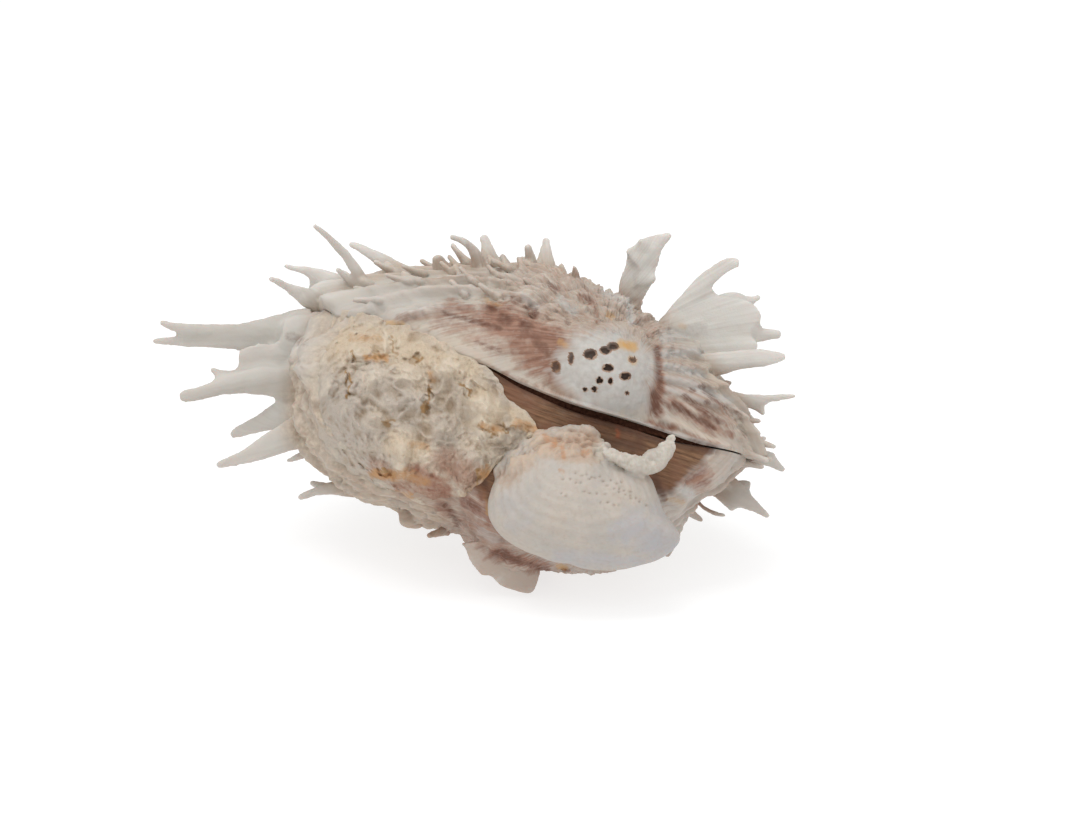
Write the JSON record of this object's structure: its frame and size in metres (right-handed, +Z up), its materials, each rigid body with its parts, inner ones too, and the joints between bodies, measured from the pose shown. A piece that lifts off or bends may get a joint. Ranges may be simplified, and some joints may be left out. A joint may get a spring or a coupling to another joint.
{
  "type": "spiny oyster shell",
  "caption": "Closed spiny oyster shell with long flat spines, a rough reef crust and a small shell grown on its hinge side.",
  "frame": {"origin": "middle of the base of the bounding box, on the surface that the shell rests on", "axes": "+Z up, -Y towards the hinge side, +X to the right when looking at the hinge and along the longest extent"},
  "size_m": [0.1304, 0.1154, 0.0647],
  "materials": {
    "upper_valve": "satin shell, red-brown at the beak and grey-white at the spines",
    "lower_valve": "satin shell, brown on the flat face under the hinge",
    "ligament": "dry, near-black brown",
    "crust": "matt and sandy, cream with orange-brown patches",
    "attached_shell": "smooth off-white shell with fine pores"
  },
  "bodies": {
    "root": {"upper_valve": "upper_valve", "lower_valve": "lower_valve", "hinge_ligament": "ligament", "reef_crust": "crust", "attached_shell": "attached_shell"}
  },
  "joints": []
}
